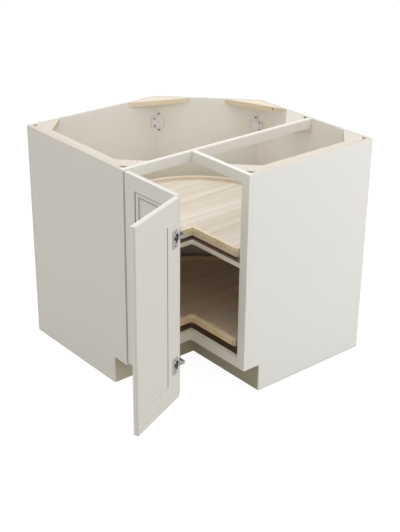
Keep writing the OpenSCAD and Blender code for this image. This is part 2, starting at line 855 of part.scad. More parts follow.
// The arm leaves the second leaf's cup straight back, turns twice and lies on the first leaf's back
module fold_hinge_arm()
    difference() {
        union() {
            linear_extrude(arm_w, center = true)
                difference() {
                    union() {
                        translate([fold_pin.x, fold_pin.y - arm_t / 2])
                            square([fold_leg_x + arm_t - fold_pin.x, arm_t]);
                        translate([fold_leg_x, fold_pin.y - arm_t / 2])
                            square([arm_t, fold_plate_y + arm_t - fold_pin.y + arm_t / 2]);
                        translate([fold_plate_start, fold_plate_y])
                            square([fold_leg_x + arm_t - fold_plate_start, arm_t]);
                        translate([fold_pin.x, fold_pin.y]) circle(r = eye_r);
                    }
                    translate([fold_leg_x + arm_t, fold_pin.y - arm_t / 2]) mirror([1, 0]) round_off(arm_t);
                    translate([fold_leg_x + arm_t, fold_plate_y + arm_t]) rotate(180) round_off(arm_t);
                }
            translate([fold_plate_start, fold_plate_y + arm_t, -arm_plate_h / 2]) rotate([90, 0, 0])
                linear_extrude(arm_t) rounded_rectangle(leaf_end - fold_plate_start, arm_plate_h, plate_corner_r);
        }
        pin_bore(fold_pin);
        at_fold_arm_screws() screw_hole(2 * arm_t);
    }

module at_fold_arm_screws()
    for (side = [-1, 1])
        translate([fold_screw_x, fold_plate_y + arm_t, side * arm_screw_spread]) rotate([-90, 0, 0]) children();

module main_hinge_arms() color(nickel) place() at_hinges() main_hinge_arm();

module main_hinge_arm_screws() color(nickel) place()
    at_hinges() at_main_arm_screws() screw(arm_screw_length);

module main_hinge_cups() color(nickel) with_first_leaf() first_leaf_frame() at_hinges() hinge_cup();

module main_hinge_pins() color(nickel) with_first_leaf() first_leaf_frame() at_hinges() hinge_pin();

module main_hinge_cup_screws() color(nickel) with_first_leaf() first_leaf_frame()
    at_hinges() at_cup_screws() sunk_screw(cup_screw_length);

module fold_hinge_arms() color(nickel) with_first_leaf() at_hinges() fold_hinge_arm();

module fold_hinge_arm_screws() color(nickel) with_first_leaf()
    at_hinges() at_fold_arm_screws() screw(arm_screw_length);

module fold_hinge_cups() color(nickel) with_second_leaf() second_leaf_frame() at_hinges() hinge_cup();

module fold_hinge_pins() color(nickel) with_second_leaf() second_leaf_frame() at_hinges() hinge_pin();

module fold_hinge_cup_screws() color(nickel) with_second_leaf() second_leaf_frame()
    at_hinges() at_cup_screws() sunk_screw(cup_screw_length);

// ---- Every node by its name ----

left_end_panel();
right_end_panel();
left_back_panel();
right_back_panel();
diagonal_back_panel();
floor_panel();
fixed_shelf();
left_stile();
right_stile();
long_top_rail();
short_top_rail();
left_bottom_rail();
right_bottom_rail();
left_toe_board();
right_toe_board();
left_top_batten();
right_top_batten();
corner_blocks();
obtuse_blocks();
pocket_screw();
stretcher_cleat();
corner_brackets();
bracket_screws();
lower_riser();
upper_bearing_base();
lower_bearing_base();
bearing_base_screws();
main_hinge_arms();
main_hinge_arm_screws();
hinge_stile();
fold_stile();
first_leaf_top_rail();
first_leaf_bottom_rail();
first_leaf_panel();
main_hinge_cups();
main_hinge_pins();
main_hinge_cup_screws();
fold_hinge_arms();
fold_hinge_arm_screws();
joint_stile();
free_stile();
second_leaf_top_rail();
second_leaf_bottom_rail();
second_leaf_panel();
fold_hinge_cups();
fold_hinge_pins();
fold_hinge_cup_screws();
upper_tray_board();
upper_tray_rim();
upper_tray_lips();
upper_bearing_ring();
upper_bearing_balls();
upper_ring_screws();
lower_tray_board();
lower_tray_rim();
lower_tray_lips();
lower_bearing_ring();
lower_bearing_balls();
lower_ring_screws();
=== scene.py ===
# %% [markdown]
# # A corner carousel cabinet, finished in Blender
#
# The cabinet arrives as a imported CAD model: 59 pieces of wood and steel, already in place and already
# tied to the bodies that move. This lesson keeps those pieces and gives each one the finish of the real
# thing: cream paint with a brown glaze in its moulding, pale maple, raw blocks, plated steel. Where the
# real piece has detail too fine for CAD, such as a cross recess in a screw head or an eased edge, a new
# piece is modelled with bmesh operators and stands in for the CAD one.

# %% Load the frame
import json
from functools import partial
from math import atan2, cos, pi, radians, sin

import bmesh
import bpy
from mathutils import Matrix, Vector

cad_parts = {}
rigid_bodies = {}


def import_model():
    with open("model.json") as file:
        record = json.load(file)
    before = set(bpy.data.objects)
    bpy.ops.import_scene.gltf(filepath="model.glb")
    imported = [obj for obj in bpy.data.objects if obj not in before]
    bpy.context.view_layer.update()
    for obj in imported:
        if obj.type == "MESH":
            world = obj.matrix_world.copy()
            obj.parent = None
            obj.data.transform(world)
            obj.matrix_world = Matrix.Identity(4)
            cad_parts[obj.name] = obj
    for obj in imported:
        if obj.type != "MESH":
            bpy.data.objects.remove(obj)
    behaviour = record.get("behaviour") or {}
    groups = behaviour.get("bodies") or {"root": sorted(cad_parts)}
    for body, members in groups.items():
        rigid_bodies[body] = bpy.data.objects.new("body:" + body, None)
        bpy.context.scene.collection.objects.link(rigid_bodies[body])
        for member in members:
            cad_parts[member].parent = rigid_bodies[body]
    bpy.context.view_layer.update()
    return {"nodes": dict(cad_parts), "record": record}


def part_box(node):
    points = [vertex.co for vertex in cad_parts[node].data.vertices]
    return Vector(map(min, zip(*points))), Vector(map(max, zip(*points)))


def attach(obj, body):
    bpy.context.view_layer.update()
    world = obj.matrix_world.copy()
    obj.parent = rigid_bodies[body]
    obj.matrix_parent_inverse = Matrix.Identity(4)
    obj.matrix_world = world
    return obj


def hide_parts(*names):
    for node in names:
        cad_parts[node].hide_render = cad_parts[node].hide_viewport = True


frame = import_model()

# %% [markdown]
# ## Where things are
#
# The cabinet is easiest to think of from the corner of its footprint: X runs from the left end's outer
# face and Y from the right end's outer face. The two end panels' boxes say where that corner is, so the
# numbers of the workshop drawing can be used as they are, in millimetres.

# %% Workshop coordinates
MM = 0.001
corner = Vector((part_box("left_end_panel")[0].x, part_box("right_end_panel")[0].y, 0))
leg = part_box("right_back_panel")[1].x - corner.x
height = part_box("left_end_panel")[1].z


def drawn(x, y):
    """Point of the workshop drawing's plan, in millimetres, as a point of the scene."""
    return corner + Vector((x, y, 0)) * MM


print("legs %.1f mm, height %.1f mm" % (leg / MM, height / MM))

# %% [markdown]
# ## The door's own frames
#
# A door leaf is easiest to think of as lying flat, with u across it from its hinged edge and v from its
# outer face inwards. Each leaf is put where it is when the door is closed. Then both are turned round the
# hinge pins by the opening, and the second one by its bend as well.

# %% Door leaf frames
DOOR_OPEN, LEAF_BEND = radians(-90), radians(22.6)
HINGE_PIN, FOLD_PIN = drawn(11, 290.8), drawn(290.8, 274.3)
FIRST_CLOSED, SECOND_CLOSED = drawn(3, 282.8), drawn(282.8, 282.3)
LEAF_W, LEAF_T, LEAF_BOTTOM, LEAF_TOP = 0.2793, 0.019, 0.1215, 0.873


def turned(pivot, angle):
    """A turn round the upright line through a point."""
    return Matrix.Translation(pivot) @ Matrix.Rotation(angle, 4, "Z") @ Matrix.Translation(-pivot)


first_leaf = turned(HINGE_PIN, DOOR_OPEN) @ Matrix.Translation(FIRST_CLOSED)
second_leaf = (turned(HINGE_PIN, DOOR_OPEN) @ turned(FOLD_PIN, LEAF_BEND)
               @ Matrix.Translation(SECOND_CLOSED) @ Matrix.Rotation(-pi / 2, 4, "Z"))
print("second leaf starts at", [round(c, 4) for c in second_leaf.translation])

# %% [markdown]
# ## The camera
#
# A product picture like this one is taken with a long lens from slightly above, so that upright edges
# stay nearly upright. The place and the lens were found by fitting a camera to the cabinet's corners: it
# stands about four metres off, 25.7 degrees above the horizon. The axes are built by hand, because that
# also takes the small roll of the picture.

# %% Camera
EYE = Vector((-2.39356, -2.97563, 2.21584))
AZIMUTH, DOWN, ROLL = radians(49.994), radians(25.669), radians(0.603)
LENS, SENSOR, SIGHT = 75.18, 36, 60

ahead = Vector((cos(AZIMUTH) * cos(DOWN), sin(AZIMUTH) * cos(DOWN), -sin(DOWN)))
level = ahead.cross(Vector((0, 0, 1))).normalized()
upright = level.cross(ahead)
right = level * cos(ROLL) + upright * sin(ROLL)
up = upright * cos(ROLL) - level * sin(ROLL)


def in_scene(name, data):
    """New object that is linked to the scene."""
    made = bpy.data.objects.new(name, data)
    bpy.context.scene.collection.objects.link(made)
    return made


camera_data = bpy.data.cameras.new("camera")
camera_data.lens, camera_data.sensor_width, camera_data.clip_end = LENS, SENSOR, SIGHT
camera = in_scene("camera", camera_data)
camera.matrix_world = Matrix.Translation(EYE) @ Matrix((right, up, -ahead)).transposed().to_4x4()
bpy.context.scene.camera = camera
bpy.context.scene.view_settings.view_transform = "Standard"
print("camera looks along", [round(c, 3) for c in ahead])

# %% [markdown]
# ## Small tools for node trees
#
# Every finish below is a tree of shader nodes. The first helper adds a node to the tree of the sockets it
# is linked from, and the others build on it: arithmetic, mixing of colours, and a slope from 0 to 1.

# %% Node helpers


def put(kind, sockets=None, tree=None, **settings):
    """Adds a node. Each socket gets a value or a link, and the links say which tree the node is in."""
    sockets = sockets or {}
    linked = [name for name, value in sockets.items() if isinstance(value, bpy.types.NodeSocket)]
    tree = tree or sockets[linked[0]].id_data
    made = tree.nodes.new("ShaderNode" + kind)
    for name, value in settings.items():
        setattr(made, name, value)
    for name, value in sockets.items():
        if name in linked:
            tree.links.new(value, made.inputs[name])
        else:
            made.inputs[name].default_value = value
    return made


def calc(operation, *values, clamp=False):
    """Arithmetic on sockets and numbers."""
    sockets = dict(enumerate(values))
    return put("Math", sockets, operation=operation, use_clamp=clamp).outputs[0]


plus, minus, times, over = [partial(calc, kind) for kind in ("ADD", "SUBTRACT", "MULTIPLY", "DIVIDE")]
larger, smaller, above, below, size_of = [
    partial(calc, kind) for kind in ("MAXIMUM", "MINIMUM", "GREATER_THAN", "LESS_THAN", "ABSOLUTE")]


def blend_colours(factor, first, second, mode="MIX"):
    """Goes from the first colour to the second. The mixer has sockets of one name, so they go by number."""
    sockets = {0: factor, 6: first, 7: second}
    return put("Mix", sockets, data_type="RGBA", blend_type=mode).outputs[2]


def grey(value):
    return (value, value, value, 1)


def fade(value, start, end):
    """0 up to start, 1 from end on, and a straight slope between them."""
    made = put("ValToRGB", {"Fac": value})
    for element, position, shade in zip(made.color_ramp.elements, (start, end), (0, 1)):
        element.position, element.color = position, grey(shade)
    return made.outputs["Color"]


def linear(red, green, blue):
    """Colour as written for the screen, 0 to 255, as the renderer's linear colour."""
    channels = [c / 255 for c in (red, green, blue)]
    return [c / 12.92 if c <= 0.04045 else ((c + 0.055) / 1.055) ** 2.4 for c in channels] + [1]


print("middle grey is", [round(c, 3) for c in linear(128, 128, 128)])

# %% [markdown]
# ## Patterns and directions
#
# Nearly every finish needs noise, often drawn out along one axis, and many ask which way a surface faces.

# %% Pattern helpers


def noise(where, scale, detail, **more):
    """Cloudy pattern between 0 and 1."""
    return put("TexNoise", {"Vector": where, "Scale": scale, "Detail": detail, **more}).outputs[0]


def mapped(where, **how):
    """A place that is turned or rescaled. A pattern read there is longest along the axis scaled least."""
    return put("Mapping", {"Vector": where, **how}).outputs[0]


def split(vector):
    return put("SeparateXYZ", {"Vector": vector}).outputs


def normal_beside(socket):
    """Normal of the piece, in the tree that a socket is in."""
    return put("TexCoord", tree=socket.id_data).outputs["Normal"]


def facing(normal, way):
    """1 where a surface looks along a way, 0 where it is square to it, -1 where it looks against it."""
    return put("VectorMath", {0: normal, 1: way}, operation="DOT_PRODUCT").outputs["Value"]


print("pattern helpers ready")

# %% [markdown]
# ## Node groups
#
# An effect such as grain is built once, as a node group with named inputs and outputs, and then used by
# many materials with their own values. One helper opens a group, and the other wires up its outputs.

# %% Group helpers
VECTOR, FLOAT, COLOUR = "NodeSocketVector", "NodeSocketFloat", "NodeSocketColor"
SKIN = {"Colour": COLOUR, "Roughness": FLOAT, "Height": FLOAT}


def new_group(name, outputs, **inputs):
    """Node group's input and output. An input's value says its kind: None a place, a tuple a colour."""
    tree = bpy.data.node_groups.new(name, "ShaderNodeTree")
    for label, value in inputs.items():
        kind = VECTOR if value is None else COLOUR if isinstance(value, tuple) else FLOAT
        socket = tree.interface.new_socket(label, in_out="INPUT", socket_type=kind)
        if value is not None:
            socket.default_value = value
    for label, kind in outputs.items():
        tree.interface.new_socket(label, in_out="OUTPUT", socket_type=kind)
    return tree.nodes.new("NodeGroupInput").outputs, tree.nodes.new("NodeGroupOutput")


def close_group(output, **values):
    """Links the outputs and hands the group over."""
    tree = output.id_data
    for name, socket in values.items():
        tree.links.new(socket, output.inputs[name])
    print(tree.name, "has", len(tree.nodes), "nodes")
    return tree


print("a skin has", list(SKIN))

# %% [markdown]
# ## Stage and light
#
# The real unit was shot on pure white. The floor and the world answer the camera with white, and the rest
# of the light sees a pale floor and an even, soft sky, so the object is lit plainly and its colours come
# out about as written.

# %% World
SKY_COLOUR, SKY_STRENGTH = linear(255, 252, 246), 0.62


def emptied(owner):
    """Node tree of a world or a material, without the nodes it starts with."""
    owner.use_nodes = True
    owner.node_tree.nodes.clear()
    return owner.node_tree


def by_ray(tree, bounced, seen):
    """One shader for light that bounces about, another for rays from the camera, a mirror or a glass."""
    path = put("LightPath", tree=tree).outputs
    mirrored = larger(path["Is Glossy Ray"], path["Is Transmission Ray"])
    direct = larger(path["Is Camera Ray"], mirrored)
    return put("MixShader", {0: direct, 1: bounced.outputs[0], 2: seen.outputs[0]}).outputs[0]


world = bpy.data.worlds.new("studio")
bpy.context.scene.world = world
sky = emptied(world)
soft = put("Background", {"Color": SKY_COLOUR, "Strength": SKY_STRENGTH}, sky)
white = put("Background", {"Color": grey(1), "Strength": 1.0}, sky)
put("OutputWorld", {"Surface": by_ray(sky, soft, white)})
print("world has", len(sky.nodes), "nodes")

# %% [markdown]
# ## The ground
#
# A ground plane catches the cabinet's shadow and throws light back up. Its material asks what kind of ray
# has hit it: the camera and reflections see a nearly white glow with a trace of shadow, and the light that
# bounces sees a plain grey.

# %% Floor
FLOOR_HALF, FLOOR_GAP = 9, 0.0005
BOUNCED_GREY, SHADOW_GREY, GLOW = 0.45, 0.12, 0.95


def mesh_of(shape, name):
    """Turns a bmesh into a mesh."""
    mesh = bpy.data.meshes.new(name)
    shape.to_mesh(mesh)
    shape.free()
    return mesh


shape = bmesh.new()
bmesh.ops.create_grid(shape, x_segments=1, y_segments=1, size=FLOOR_HALF)
bmesh.ops.translate(shape, verts=shape.verts, vec=(0, 0, -FLOOR_GAP))
floor = in_scene("studio_floor", mesh_of(shape, "studio_floor"))

floor_finish = bpy.data.materials.new("studio_floor")
tree = emptied(floor_finish)
matt = put("BsdfDiffuse", {"Color": grey(BOUNCED_GREY)}, tree)
faint = put("BsdfDiffuse", {"Color": grey(SHADOW_GREY)}, tree)
glow = put("Emission", {"Color": grey(1), "Strength": GLOW}, tree)
shown = put("AddShader", {0: faint.outputs[0], 1: glow.outputs[0]})
put("OutputMaterial", {"Surface": by_ray(tree, matt, shown)})
floor.data.materials.append(floor_finish)
print("floor is", 2 * FLOOR_HALF, "m wide")

# %% [markdown]
# ## Lamps
#
# Large soft boxes make the soft, short gradients of a studio. A high one on the right and a weak low one
# beside it leave the left end a shade darker than the right one. The one overhead lights the tray, and
# because it can't look in through the doorway, the room under the tray stays dark.

# %% Lamps


def softbox(name, place, target, size, power, colour=(1, 1, 1)):
    """Square area lamp that faces a point."""
    lamp = bpy.data.lights.new(name, "AREA")
    lamp.size, lamp.energy, lamp.color = size, power, colour
    holder = in_scene(name, lamp)
    way = Vector(target) - Vector(place)
    holder.matrix_world = Matrix.Translation(place) @ way.to_track_quat("-Z", "Y").to_matrix().to_4x4()


softbox("key_right", (1.6, -4.2, 3.6), (0, 0, 0.4), 3.0, 66, (0.96, 0.98, 1))
softbox("low_right", (2.6, -2.8, 0.8), (0.1, 0, 0.4), 1.6, 19, (0.94, 0.97, 1))
softbox("overhead", (0.3, 0.2, 4.6), (0, 0, 0.4), 3.0, 70, (0.94, 0.98, 1))
softbox("fill_left", (-4.4, -1.2, 1.6), (0, 0, 0.4), 2.6, 21)

# %% [markdown]
# ## Paint
#
# Sprayed cabinet paint is nearly flat in colour, with a very fine orange peel that only shows in its
# gloss, and slow drifts of tone over a panel. Both come from noise: a broad one for the tone and the
# roughness, and a fine one for the bump. One group holds them, and each painted piece uses it in its own
# colour.

# %% Sprayed paint group


def shaded(colour, tone):
    """A colour made lighter or darker by a factor."""
    return put("HueSaturation", {"Value": tone, "Color": colour}).outputs[0]


given, out = new_group("sprayed paint", SKIN, Vector=None, Paint=grey(0.8), Drift=0.03, Gloss=0.42)
broad = minus(noise(given["Vector"], 3.5, 3.0), 0.5)
peel = noise(given["Vector"], 650.0, 1.5)
tone = plus(times(broad, given["Drift"]), 1.0)
gloss = plus(given["Gloss"], times(broad, 0.12))
paint_group = close_group(out, Colour=shaded(given["Paint"], tone), Roughness=gloss, Height=peel)

# %% [markdown]
# ## Veneer
#
# Pale maple veneer shows long, soft streaks along the grain and short dark pores. Noise that is drawn out
# along X gives both: a coarse one for the streaks and a fine one for the pores. The pores are also a
# little rougher and lower than the wood between them.

# %% Veneer group
given, out = new_group("veneer", SKIN, Vector=None, Light=grey(0.7), Dark=grey(0.5), Streaks=1.0, Gloss=0.45)
wide = mapped(given["Vector"], Scale=(1.1, 26, 26))
fine = mapped(given["Vector"], Scale=(7, 420, 420))
bands = noise(wide, 1.0, 5.0, Roughness=0.62, Distortion=0.35)
streak = times(fade(bands, 0.34, 0.72), given["Streaks"], clamp=True)
colour = blend_colours(streak, given["Light"], given["Dark"])
fleck = fade(noise(fine, 1.0, 2.0), 0.56, 0.80)
colour = blend_colours(times(fleck, 0.35), colour, given["Dark"], "MULTIPLY")
rough = plus(given["Gloss"], times(fleck, 0.15))
veneer_group = close_group(out, Colour=colour, Roughness=rough, Height=minus(1.0, fleck))

# %% [markdown]
# ## Solid wood
#
# Solid blocks are cut across their growth rings, so their ends show arcs and their sides show lines. A
# rings texture round a far-off pith gives both from one pattern, because it fills the whole space and
# each face simply cuts it. Fine noise along the grain adds the fibres that a saw leaves.

# %% Solid wood group
given, out = new_group("solid wood", SKIN, Vector=None, Light=grey(0.7), Dark=grey(0.5), Gloss=0.6)
ring_place = mapped(given["Vector"], Scale=(0.12, 1, 1))
rings = put("TexWave",
            {"Vector": ring_place, "Scale": 75.0, "Distortion": 2.2, "Detail": 2.0, "Detail Scale": 1.4},
            wave_type="RINGS", rings_direction="X").outputs["Fac"]
late = times(fade(rings, 0.30, 0.95), 0.55)
fibres = noise(mapped(given["Vector"], Scale=(14, 700, 700)), 1.0, 2.0)
colour = blend_colours(late, given["Light"], given["Dark"])
colour = blend_colours(times(fibres, 0.22), colour, given["Dark"])
rough = plus(given["Gloss"], times(fibres, 0.1))
solid_group = close_group(out, Colour=colour, Roughness=rough, Height=fibres)

# %% [markdown]
# ## Plywood edges
#
# Where plywood is cut, its plies show as thin stripes, alternately face on and end on. A value that runs
# across the thickness is folded back and forth by a ping-pong, and a slope turns the folds into stripes.

# %% Ply stripes group
given, out = new_group("ply stripes", {"Colour": COLOUR}, Across=0.0, Ply=0.0014, Vector=None,
                       Light=grey(0.7), Dark=grey(0.4))
wobble = minus(noise(given["Vector"], 30.0, 2.0), 0.5)
moved = plus(given["Across"], times(wobble, 0.0003))
folded = calc("PINGPONG", over(moved, given["Ply"]), 1.0)
stripe = times(fade(folded, 0.35, 0.65), 0.6)
grains = times(noise(given["Vector"], 380.0, 2.0), 0.3)
colour = blend_colours(plus(stripe, grains), given["Light"], given["Dark"])
ply_group = close_group(out, Colour=colour)

# %% [markdown]
# ## Steel
#
# Plated hinge steel is bright but never a mirror: the strip it is pressed from has fine rolling lines,
# and the plating is cloudy. Stretched noise makes the lines, and plain noise the clouds.

# %% Plated steel group
given, out = new_group("plated steel", SKIN, Vector=None, Metal=grey(0.7), Gloss=0.28)
rolled = noise(mapped(given["Vector"], Scale=(900, 900, 60)), 1.0, 3.0)
cloud = noise(given["Vector"], 120.0, 2.0)
metal = shaded(given["Metal"], plus(0.80, times(cloud, 0.40)))
gloss = plus(given["Gloss"], times(minus(rolled, 0.5), 0.25))
steel_group = close_group(out, Colour=metal, Roughness=gloss, Height=rolled)

# %% [markdown]
# ## From a bmesh to a piece
#
# A finished shape becomes a mesh with smooth faces and sharp creases, gets its material and rides on the
# body it belongs to. If it stands in for a CAD node, that node is named, so that it is hidden.

# %% Make a piece
BODY_OF = {node: body for body, nodes in frame["record"]["behaviour"]["bodies"].items() for node in nodes}


def as_piece(shape, name, body, slot, material, *nodes, smooth=radians(15)):
    """Makes a bmesh a piece that rides on a body, has a finish and may stand for CAD nodes."""
    mesh = mesh_of(shape, name)
    mesh.shade_smooth()
    mesh.set_sharp_from_angle(angle=smooth)
    mesh.materials.append(material)
    piece = in_scene(name, mesh)
    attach(piece, body)
    if nodes:
        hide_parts(*nodes)


print("every node has a body:", sorted(BODY_OF) == sorted(frame["nodes"]))

# %% [markdown]
# ## Eased edges
#
# Real boards and pressings have no knife-sharp edges: sandpaper and presses round them a little, and that
# rounding catches a thin line of light. CAD leaves them sharp, so a copy of the CAD mesh is bevelled here.
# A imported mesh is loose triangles: its doubles are merged and its flat faces joined first, and only then
# does it have real edges to bevel. Edges shorter than the rounding have no room for it and stay sharp.

# %% Eased copies
TOUCHING, FLAT, CREASE = 0.00001, radians(0.5), radians(40)


def merged(node):
    """Copy of a CAD node's mesh with shared corners and whole flat faces, and no wall inside it."""
    shape = bmesh.new()
    shape.from_mesh(frame["nodes"][node].data)
    bmesh.ops.remove_doubles(shape, verts=shape.verts, dist=TOUCHING)
    bmesh.ops.dissolve_limit(shape, angle_limit=FLAT, verts=shape.verts, edges=shape.edges)
    inner_walls = [f for f in shape.faces if all(len(e.link_faces) > 2 for e in f.edges)]
    if inner_walls:
        bmesh.ops.delete(shape, geom=inner_walls, context="FACES_ONLY")
        bmesh.ops.dissolve_limit(shape, angle_limit=FLAT, verts=shape.verts, edges=shape.edges)
    return shape


def eased(node, width, slot, material, segments=2, shape=None):
    """Stands for a CAD node with a copy whose long sharp edges are rounded."""
    shape = shape or merged(node)
    sharp = [e for e in shape.edges if len(e.link_faces) == 2 and e.calc_length() > width
             and e.calc_face_angle() > CREASE]
    bmesh.ops.bevel(shape, geom=sharp, offset=width, offset_type="OFFSET", segments=segments, profile=0.5,
                    affect="EDGES", clamp_overlap=False, material=-1, loop_slide=True)
    bmesh.ops.remove_doubles(shape, verts=shape.verts, dist=TOUCHING)
    as_piece(shape, node + "_eased", BODY_OF[node], slot, material, node)


print("edges over", round(CREASE / radians(1)), "degrees are eased")

# %% [markdown]
# ## From groups to materials
#
# A material is a Principled BSDF that takes its colour, roughness and bump from the groups. One function
# opens it, with the pattern's coordinates moved and turned to suit the piece, one places a group, and one
# finishes it. A CAD node whose shape is right just gets its material.

# %% Material helpers
RELIEF = 0.0002


def new_material(name, turn=0.0, place=(0, 0, 0)):
    """Material with Object coordinates that a Mapping node has moved and turned into a piece's own frame."""
    made = bpy.data.materials.new(name)
    where = put("TexCoord", tree=emptied(made)).outputs["Object"]
    sockets = {"Vector": where, "Location": place, "Rotation": (0, 0, turn)}
    return made, put("Mapping", sockets, vector_type="TEXTURE").outputs[0]


def use(group, where, **sockets):
    """Places a group in a material."""
    return put("Group", {"Vector": where, **sockets}, node_tree=group).outputs


def surface(skin, bump, depth=RELIEF, metallic=0.0, **own):
    """Principled BSDF that takes its colour, roughness and relief from a skin, unless it has its own."""
    look = {name: own.get(name, skin[name]) for name in SKIN}
    relief = put("Bump", {"Height": look["Height"], "Strength": bump, "Distance": depth})
    shader = put("BsdfPrincipled", {"Base Color": look["Colour"], "Roughness": look["Roughness"],
                                    "Metallic": metallic, "Normal": relief.outputs[0]})
    put("OutputMaterial", {"Surface": shader.outputs[0]})


def plain_finish(name, group, bump, depth=RELIEF, metallic=0.0, **look):
    """Material of one group alone."""
    made, where = new_material(name)
    surface(use(group, where, **look), bump, depth, metallic)
    return made


def finish_with(material, *nodes):
    """Puts a material on CAD nodes that are shown as they are."""
    for name in nodes:
        mesh = frame["nodes"][name].data
        mesh.materials.clear()
        mesh.materials.append(material)


print("material helpers ready")

# %% [markdown]
# ## Painted face frame
#
# Stiles and rails are solid wood under the paint, and their top edges are painted too. They all wear one
# paint, but the frame has three very near creams: the short top rail and the right stile are a trace lighter
# as painted light, and the bottom rails warmer as painted warm light from inside the cabinet.

# %% Frame paint
# The second and third creams are painted light: one paint, lighter on the short top rail and right stile,
# warmer on the bottom rails.
CREAM, LIT_CREAM, WARM_LIT_CREAM = linear(231, 228, 221), linear(237, 235, 229), linear(238, 234, 221)
FRAME_EDGE, PAINT_BUMP = 0.6 * MM, 0.06

for name, paint, members in (
        ("frame_paint", CREAM, ("left_stile", "long_top_rail")),
        ("pale_frame_paint", LIT_CREAM, ("short_top_rail", "right_stile")),
        ("warm_frame_paint", WARM_LIT_CREAM, ("left_bottom_rail", "right_bottom_rail"))):
    frame_paint = plain_finish(name, paint_group, PAINT_BUMP, Paint=paint)
    for member in members:
        eased(member, FRAME_EDGE, "cream_paint", frame_paint)
    print(name, "on", members)

# %% [markdown]
# ## Toe boards
#
# The toe boards stand back from the face and get a darker, flatter brown-grey, with more drift in it than
# the cream has. The left one is painted lighter than the right one, as painted light where it catches more
# light.

# %% Toe paint
# The left board's lighter colour is painted light.
for name, paint in (("left_toe_board", linear(200, 193, 171)), ("right_toe_board", linear(177, 170, 149))):
    toe_paint = plain_finish(name + "_paint", paint_group, 0.08, Paint=paint, Drift=0.06, Gloss=0.6)
    eased(name, FRAME_EDGE, "toe_paint", toe_paint)
print("toe boards painted")

# %% [markdown]
# ## End panels
#
# An end panel is 16 mm plywood. Its faces and its front edges are painted, and its top edge is left raw,
# because a worktop covers it. So one material holds both the paint and the plies, and a mask picks the
# faces that lie at the full height. A second mask darkens the lowest 3 mm as painted shadow, where the
# panel meets the floor.

# %% End panels
PLY_EDGE = 0.8 * MM
RAW_LIGHT, RAW_DARK, FOOT_SHADOW = linear(225, 219, 208), linear(203, 188, 168), linear(150, 145, 130)
AT_TOP, FOOT_SHADOW_H = 0.0002, 0.003


def end_finish(name, axis, face, paint):
    """Painted plywood with a raw top edge and a painted shadow at its foot. Plies are counted along axis from
    face.
    """
    made, where = new_material(name)
    parts = split(where)
    skin = use(paint_group, where, Paint=paint)
    plies = use(ply_group, where, Across=minus(parts[axis], face), Light=RAW_LIGHT, Dark=RAW_DARK)
    raw = below(size_of(minus(parts["Z"], height)), AT_TOP)
    # Painted shadow: the lowest 3 mm is darkened where the panel meets the floor.
    foot_shadow = times(below(parts["Z"], FOOT_SHADOW_H), 0.5)
    colour = blend_colours(foot_shadow, skin["Colour"], FOOT_SHADOW)
    colour = blend_colours(raw, colour, plies["Colour"])
    surface(skin, PAINT_BUMP, Colour=colour, Roughness=plus(skin["Roughness"], times(raw, 0.25)))
    return made


# The right end's paint is a trace lighter than the left end's cream: painted light.
for side, axis, face, paint in (("left", "X", corner.x, CREAM),
                                ("right", "Y", corner.y, linear(237, 235, 231))):
    eased(side + "_end_panel", PLY_EDGE, "cream_paint", end_finish(side + "_end_finish", axis, face, paint))
print("ends painted")

# %% [markdown]
# ## Back panels
#
# Inside, the back panels have a smooth beige coating, and so have their upright edges, which show beside
# the ends. Their top edges and their wall side are plain plywood. The mask asks which way the surface
# faces: the wall side is the one that faces away from the cabinet's front. The coating is one beige, but
# each panel has its own shade of it as painted light: the right and diagonal panels are lighter than the
# left one.

# %% Back panels
PLAIN_LIGHT, PLAIN_DARK = linear(214, 211, 206), linear(203, 198, 190)


def wall_finish(name, room_way, coating):
    """Coated on the room side and the upright edges, plain plywood on the wall side and the top."""
    made, where = new_material(name)
    normal = normal_beside(where)
    off_wall = above(facing(normal, room_way), -0.9)
    upright = below(size_of(split(normal)["Z"]), 0.5)
    coat = use(paint_group, where, Paint=coating, Drift=0.05, Gloss=0.5)
    standing = mapped(where, Rotation=(0, pi / 2, 0))
    plain = use(veneer_group, standing, Light=PLAIN_LIGHT, Dark=PLAIN_DARK)
    surface(coat, 0.05, Colour=blend_colours(times(off_wall, upright), plain["Colour"], coat["Colour"]))
    return made


# Each panel's coating colour is painted light: one beige, lighter on the right and diagonal panels.
for side, room_way, coating in (("left", (0, -1, 0), linear(228, 226, 219)),
                                ("right", (-1, 0, 0), linear(239, 237, 231)),
                                ("diagonal", (-0.7071, -0.7071, 0), linear(237, 236, 229))):
    finish = wall_finish(side + "_wall_finish", room_way, coating)
    eased(side + "_back_panel", PLY_EDGE, "raw_plywood", finish)
print("back panels finished")

# %% [markdown]
# ## Floor and shelf
#
# The shelf and the floor are maple plywood with a painted front edge. Along that edge, the strip that
# shows under a tray's lip lies in the tray's shadow and is nearly black, and that shadow is painted in: the
# strip is darker than the rest of the top. The shelf's edge paint is a lighter, warmer cream than the
# floor's, as painted light. The front edge runs along the notch of the L, so the larger of X and Y says how
# far a point is behind it.

# %% Floor and shelf
SHELF_LIGHT, SHELF_DARK = linear(232, 212, 184), linear(208, 180, 146)
STRIP_END, STRIP_FADE = 0.360, 0.025


